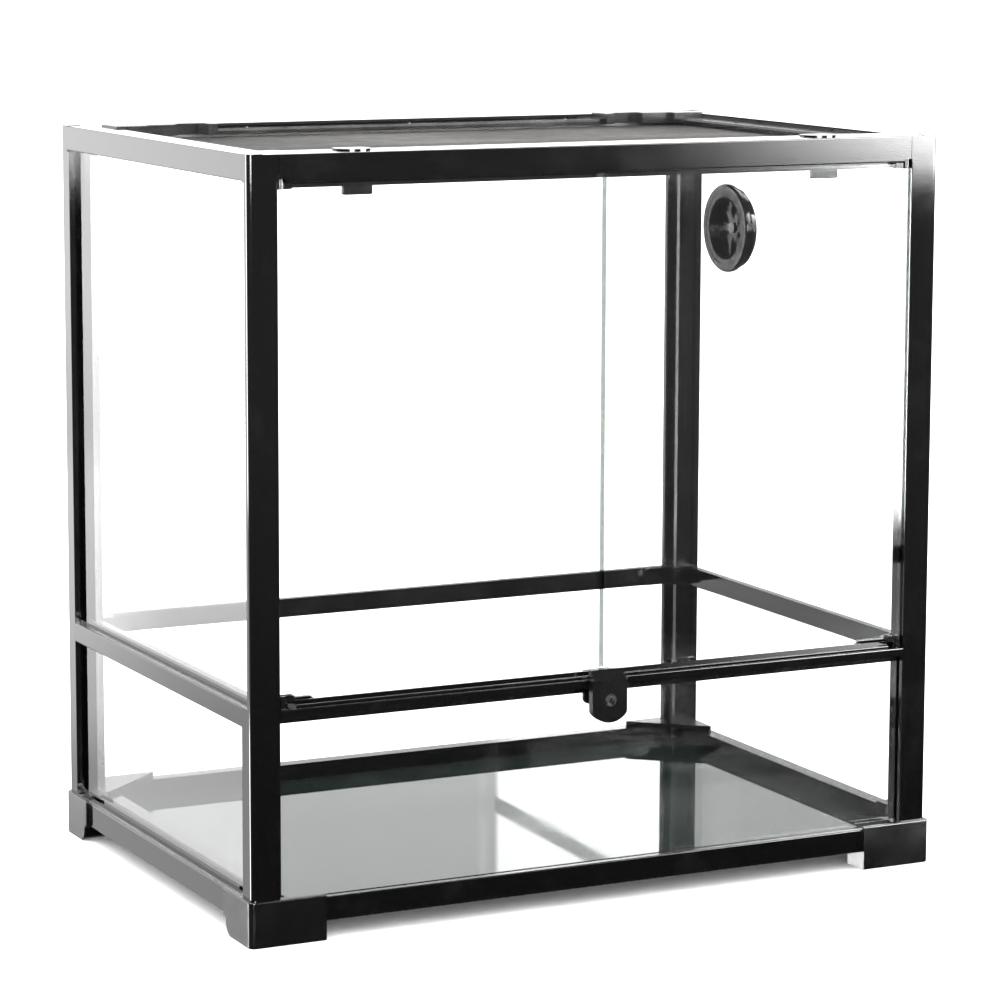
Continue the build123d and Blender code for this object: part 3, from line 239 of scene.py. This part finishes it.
def painted_shade_base_glass(name):
    """The thick base pane: a clean polished face and a little dust over a near-black grey-green body,
    which is painted shade standing in for the shaded floor seen through the glass.
    """
    material, graph = new_material(name)
    where = graph.add("ShaderNodeTexCoord").outputs["Object"]
    cloud = graph.noise(where, 9.0, 5.0, 0.6)
    specks = graph.ramp(graph.noise(where, 260.0, 1.0, 0.4), 0.75, 0.79)
    haze = graph.ramp(cloud, 0.45, 0.8, 0.0, 0.03)
    film = graph.math("ADD", haze, graph.math("MULTIPLY", specks, 0.12))
    # Painted shade in the body colour, with real dust mixed over it.
    colour = graph.add(
        "ShaderNodeMix",
        {0: film, 6: BASE_PAINTED_SHADE_TONE, 7: BASE_DUST_TONE},
        data_type="RGBA",
    ).outputs[2]
    gloss = graph.ramp(cloud, 0.3, 0.8, 0.0, 0.03)
    shader = graph.add(
        "ShaderNodeBsdfPrincipled",
        {"Base Color": colour, "Roughness": gloss, "IOR": BASE_IOR},
    )
    end_surface(graph, shader)
    return material


def wire_steel(name, dark, light):
    """Drawn steel wire, between a dark and a light tone."""
    material, graph = new_material(name)
    where = graph.add("ShaderNodeTexCoord").outputs["Object"]
    patches = graph.noise(where, 40.0, 4.0, 0.6)
    gloss = graph.ramp(patches, 0.3, 0.7, 0.28, 0.42)
    colour = graph.add(
        "ShaderNodeMix",
        {0: patches, 6: (*dark, 1.0), 7: (*light, 1.0)},
        data_type="RGBA",
    ).outputs[2]
    shader = graph.add(
        "ShaderNodeBsdfPrincipled",
        {"Base Color": colour, "Metallic": 0.85, "Roughness": gloss},
    )
    end_surface(graph, shader)
    return material


def dress_cad_nodes():
    """Give every CAD node its finished material."""
    corners = ("front_left", "front_right", "back_left", "back_right")
    sides = ("front", "back", "left", "right")
    frame_black = moulded_plastic("frame_black", FRAME_TONE, 0.06, 0.05, dust=0.004)
    post_black = moulded_plastic("post_black", FRAME_TONE, 0.035, 0.03, dust=0.004)
    worn_black = moulded_plastic("worn_black", WORN_TONE, 0.05, 0.03, dust=0.01)
    foot_black = moulded_plastic("foot_black", FRAME_TONE, 0.18, 0.2, dust=0.003)
    fitting_black = moulded_plastic("fitting_black", FITTING_TONE, 0.13, 0.12, dust=0.005)
    screen_black = moulded_plastic("screen_black", SCREEN_TONE, 0.2, 0.16, dust=0.006)
    for level in ("lower", "upper"):
        dress(post_black, *[f"{level}_post_{corner}" for corner in corners])
    dress(worn_black, "upper_post_back_right", "lower_post_back_right", "mid_rail_back")
    dress(frame_black, *[f"bottom_rail_{side}" for side in sides])
    dress(frame_black, "mid_rail_front", "mid_rail_left", "mid_rail_right")
    dress(frame_black, "door_sill", "mid_connectors")
    dress(frame_black, *[f"top_rail_{side}" for side in sides])
    dress(frame_black, *[f"top_corner_{corner}" for corner in corners])
    dress(foot_black, *[f"foot_{corner}" for corner in corners])
    dress(fitting_black, "door_hinges_left", "door_hinges_right", "lock_body", "lock_back_plate")
    vent_black = moulded_plastic("vent_black", FITTING_TONE, 0.09, 0.05, dust=0.003, ior=1.32)
    dress(vent_black, "vent_body", "vent_ring", "vent_shutter")
    dress(fitting_black, "screen_lock_bases", "screen_lock_left", "screen_lock_right")
    dress(screen_black, "screen_front_rail", "screen_back_rail", "screen_side_rails", "screen_corners")
    dress(moulded_plastic("spline_rubber", (0.01, 0.01, 0.01), 0.5, 0.3, dust=0.01), "screen_spline")
    dress(plated_metal("lock_barrel", (0.03, 0.03, 0.032), 0.3), "lock_cylinder")
    dress(plated_metal("plated_steel", (0.55, 0.55, 0.56), 0.25), "lock_screws")
    dress(plated_metal("dark_steel", (0.02, 0.02, 0.021), 0.3), "latch", "vent_rivet")
    along_x = pane_glass("glass_across_x", (1.0, 0.0, 0.0))
    along_y = pane_glass("glass_across_y", (0.0, 1.0, 0.0))
    dress(along_x, "lower_glass_left", "lower_glass_right", "upper_glass_left", "upper_glass_right")
    dress(along_y, "lower_glass_front", "lower_glass_back", "upper_glass_back")
    dress(along_y, "door_glass_left", "door_glass_right")
    dress(painted_shade_base_glass("base_glass_painted_shade"), "base_glass")


# ------------------------------------------------------------------ screen mesh


MESH_PITCH = 2.9 * MM
WIRE_RADIUS = 0.26 * MM
WIRE_SIDES = 6
WIRE_LAYER_RISE = 0.9 * WIRE_RADIUS


def add_wire(mesh, start, end, radius):
    """One straight wire as a closed prism between two points."""
    along = (end - start).normalized()
    side = along.cross(Vector((0.0, 0.0, 1.0))).normalized()
    up = side.cross(along)
    rings = []
    for centre in (start, end):
        ring = []
        for number in range(WIRE_SIDES):
            angle = 2.0 * math.pi * number / WIRE_SIDES
            offset = side * math.cos(angle) + up * math.sin(angle)
            ring.append(mesh.verts.new(centre + offset * radius))
        rings.append(ring)
    for number in range(WIRE_SIDES):
        after = (number + 1) % WIRE_SIDES
        face = (rings[0][number], rings[0][after], rings[1][after], rings[1][number])
        mesh.faces.new(face)
    mesh.faces.new(list(reversed(rings[0])))
    mesh.faces.new(rings[1])


def make_screen_mesh():
    """Fine crossing wires in the place of the plain mesh plate."""
    low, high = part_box("screen_mesh")
    middle = (low.z + high.z) / 2
    mesh = bmesh.new()
    across = int((high.x - low.x) / MESH_PITCH)
    deep = int((high.y - low.y) / MESH_PITCH)
    for number in range(across + 1):
        x = low.x + WIRE_RADIUS + number * (high.x - low.x - 2 * WIRE_RADIUS) / across
        z = middle + WIRE_LAYER_RISE
        add_wire(mesh, Vector((x, low.y, z)), Vector((x, high.y, z)), WIRE_RADIUS)
    upper_layer = len(mesh.faces)
    for number in range(deep + 1):
        y = low.y + WIRE_RADIUS + number * (high.y - low.y - 2 * WIRE_RADIUS) / deep
        z = middle - WIRE_LAYER_RISE
        add_wire(mesh, Vector((low.x, y, z)), Vector((high.x, y, z)), WIRE_RADIUS)
    data = bpy.data.meshes.new("screen_wires")
    mesh.normal_update()
    mesh.to_mesh(data)
    mesh.free()
    # Upper-layer faces take the painted shade steel and lower-layer faces take the painted light
    # steel.
    for face in data.polygons:
        face.use_smooth = len(face.vertices) == 4
        face.material_index = 0 if face.index < upper_layer else 1
    wires = bpy.data.objects.new("screen_wires", data)
    bpy.context.scene.collection.objects.link(wires)
    # Painted shade and painted light: the upper wires get a dark copy and the lower wires a light copy
    # of one steel, standing in for how light falls on the weave.
    data.materials.append(wire_steel("wire_painted_shade", (0.06, 0.057, 0.054), (0.12, 0.115, 0.11)))
    data.materials.append(wire_steel("wire_painted_light", (0.55, 0.53, 0.51), (0.7, 0.68, 0.66)))
    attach(wires, "screen")
    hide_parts("screen_mesh")


# ------------------------------------------------------------------ printed wave line

WAVE_START = 12 * MM
WAVE_TEETH = 13
WAVE_PITCH = 7.4 * MM
WAVE_HEIGHT = 160.0 * MM
WAVE_SWING = 2.0 * MM
WAVE_HALF_WIDTH = 0.35 * MM
WAVE_PROUD = 0.05 * MM
WAVE_THICKNESS = 0.04 * MM


def make_wave_line():
    """The plain zig-zag fill line printed on the lower front pane, as a thin closed strip."""
    low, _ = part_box("lower_glass_front")
    near = low.y - WAVE_PROUD
    far = near + WAVE_THICKNESS
    mesh = bmesh.new()
    rings = []
    for number in range(2 * WAVE_TEETH + 1):
        x = low.x + WAVE_START + number * WAVE_PITCH / 2
        z = WAVE_HEIGHT + (WAVE_SWING if number % 2 else -WAVE_SWING)
        under, over = z - WAVE_HALF_WIDTH, z + WAVE_HALF_WIDTH
        corners = ((near, under), (near, over), (far, over), (far, under))
        rings.append([mesh.verts.new((x, y, height)) for y, height in corners])
    for before, after in zip(rings, rings[1:]):
        for number in range(4):
            follower = (number + 1) % 4
            mesh.faces.new((before[number], after[number], after[follower], before[follower]))
    mesh.faces.new(rings[0])
    mesh.faces.new(list(reversed(rings[-1])))
    data = bpy.data.meshes.new("wave_line")
    mesh.to_mesh(data)
    mesh.free()
    line = bpy.data.objects.new("wave_line", data)
    bpy.context.scene.collection.objects.link(line)
    data.materials.append(moulded_plastic("print_grey", (0.07, 0.07, 0.068), 0.5, 0.1, dust=0.02))
    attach(line, "cage")


# ------------------------------------------------------------------ floor and light

FLOOR_SIZE = 60.0
FLOOR_TONES = (0.93, 0.95)


def make_floor():
    """A plain pale floor, left out of what glossy surfaces mirror."""
    bpy.ops.mesh.primitive_plane_add(size=FLOOR_SIZE, location=(0.0, 0.0, 0.0))
    floor = bpy.context.active_object
    floor.name = "floor"
    material, graph = new_material("floor_white")
    where = graph.add("ShaderNodeTexCoord").outputs["Object"]
    tone = graph.ramp(graph.noise(where, 3.0, 3.0), 0.3, 0.7, *FLOOR_TONES)
    colour = graph.add("ShaderNodeCombineColor", {0: tone, 1: tone, 2: tone}).outputs[0]
    shader = graph.add("ShaderNodeBsdfPrincipled", {"Base Color": colour, "Roughness": 0.8})
    end_surface(graph, shader)
    floor.data.materials.append(material)
    floor.visible_glossy = False


# Directions are in degrees: azimuth 0 is +Y and turns towards +X, elevation 0 is level.
# Each patch is (azimuths, elevations, softness across and upwards, strength).
OPEN_LIGHT = 3.3
FRONT_ROOM = 0.2
BACK_WALL = 0.85
STREAK = ((-20.6, -10.0), (-12.8, -8.5), (0.9, 0.6), 0.9)
LEFT_BOARD = ((-60.0, -8.0), (-17.0, 40.0), (6.0, 2.0), 1.0)
BASE_WINDOW = ((26.4, 29.25), (12.0, 24.0), (0.06, 1.0), 3.4)
BAR_START = 13.73
BAR_SLANT = 0.52
BAR_DIMMING = 0.85
DARK_WALL = ((-31.3, -29.6), (-8.0, -3.8), (0.1, 0.4), 0.88)
BOARDS = (
    ((-5.0, 60.0), (1.0, 7.5), (6.0, 1.5), 1.8),
    ((5.0, 26.38), (10.0, 24.0), (0.05, 2.0), 0.9),
    ((29.3, 60.0), (10.0, 24.0), (0.1, 2.0), 0.4),
    ((110.0, 146.6), (-3.98, 35.0), (5.0, 0.12), 66.0),
    ((-174.0, -146.0), (-4.1, 35.0), (2.0, 0.2), 44.0),
    ((-60.0, 90.0), (50.0, 78.0), (6.0, 4.0), 14.0),
    ((-45.0, -32.3), (-9.3, 3.0), (0.1, 0.3), 26.0),
    ((-45.0, -32.3), (-16.0, -12.6), (0.1, 0.3), 26.0),
    ((-29.52, -29.24), (-9.8, 3.0), (0.03, 0.3), 9.0),
)


def window(graph, azimuth_of, elevation_of, azimuths, elevations, soft, level):
    """A soft-edged rectangle of light in the surroundings, in degrees."""
    side_soft, height_soft = soft
    left = graph.ramp(azimuth_of, azimuths[0] - side_soft, azimuths[0] + side_soft)
    right = graph.ramp(azimuth_of, azimuths[1] + side_soft, azimuths[1] - side_soft)
    bottom = graph.ramp(elevation_of, elevations[0] - height_soft, elevations[0] + height_soft)
    top = graph.ramp(elevation_of, elevations[1] + height_soft, elevations[1] - height_soft)
    wide = graph.math("MULTIPLY", left, right)
    tall = graph.math("MULTIPLY", bottom, top)
    return graph.math("MULTIPLY", graph.math("MULTIPLY", wide, tall), level)


def left_board(graph, azimuth_of, elevation_of):
    """A broad bright board to the back left, dimmer low down and towards the cage's near corner."""
    high = graph.ramp(elevation_of, -12.5, -6.0, 0.55, 2.75, smooth=False)
    streak = window(graph, azimuth_of, elevation_of, *STREAK)
    left = graph.math("ADD", high, streak)
    board = graph.ramp(azimuth_of, -26.5, -24.5, 0.5, left)
    extent = window(graph, azimuth_of, elevation_of, *LEFT_BOARD)
    return graph.math("MULTIPLY", board, extent)


def base_window(graph, azimuth_of, elevation_of):
    """The window that the base pane mirrors, crossed by a slanting grey bar."""
    light = window(graph, azimuth_of, elevation_of, *BASE_WINDOW)
    left_edge = BASE_WINDOW[0][0]
    slant = graph.math("MULTIPLY", graph.math("SUBTRACT", azimuth_of, left_edge), BAR_SLANT)
    across = graph.math("SUBTRACT", graph.math("SUBTRACT", elevation_of, BAR_START), slant)
    bar = graph.math("MULTIPLY", graph.ramp(across, -0.03, 0.03), graph.ramp(across, 0.28, 0.22))
    kept = graph.math("SUBTRACT", 1.0, graph.math("MULTIPLY", bar, BAR_DIMMING))
    return graph.math("MULTIPLY", light, kept)


def make_world():
    """Plain white for the eye and for diffuse light; mirrored rays see boards in a dark room."""
    world = bpy.data.worlds.new("studio")
    bpy.context.scene.world = world
    world.use_nodes = True
    graph = Graph(world.node_tree)
    ray = graph.add("ShaderNodeTexCoord").outputs["Generated"]
    parts = graph.add("ShaderNodeSeparateXYZ", {0: ray}).outputs
    azimuth_of = graph.math("MULTIPLY", graph.math("ARCTAN2", parts[0], parts[1]), 180.0 / math.pi)
    elevation_of = graph.math("MULTIPLY", graph.math("ARCSINE", parts[2]), 180.0 / math.pi)
    front = graph.ramp(elevation_of, -14.5, -7.0, 0.0, FRONT_ROOM)
    back = graph.ramp(parts[1], -0.2, 0.75, 0.0, BACK_WALL)
    level = graph.math("MAXIMUM", front, back)
    broad = left_board(graph, azimuth_of, elevation_of)
    pane_light = base_window(graph, azimuth_of, elevation_of)
    for patch in (broad, pane_light):
        level = graph.math("ADD", level, patch)
    for board in BOARDS:
        level = graph.math("ADD", level, window(graph, azimuth_of, elevation_of, *board))
    dark_wall = window(graph, azimuth_of, elevation_of, *DARK_WALL)
    level = graph.math("MULTIPLY", level, graph.math("SUBTRACT", 1.0, dark_wall))
    mirrored = graph.add("ShaderNodeCombineColor", {0: level, 1: level, 2: level}).outputs[0]
    path = graph.add("ShaderNodeLightPath")
    seen = graph.add("ShaderNodeBackground", {"Color": WHITE, "Strength": OPEN_LIGHT})
    boards = graph.add("ShaderNodeBackground", {"Color": mirrored, "Strength": 1.0})
    mix = graph.add(
        "ShaderNodeMixShader",
        {0: path.outputs["Is Glossy Ray"], 1: seen.outputs[0], 2: boards.outputs[0]},
    )
    output = graph.add("ShaderNodeOutputWorld")
    graph.tree.links.new(mix.outputs[0], output.inputs["Surface"])


def set_look():
    """Plain colour handling, and enough bounces for rays that cross many panes."""
    scene = bpy.context.scene
    scene.view_settings.view_transform = "Standard"
    scene.cycles.transparent_max_bounces = 48
    scene.cycles.max_bounces = 12
    scene.cycles.glossy_bounces = 6


make_camera()
set_look()
make_world()
make_floor()
dress_cad_nodes()
make_screen_mesh()
make_wave_line()
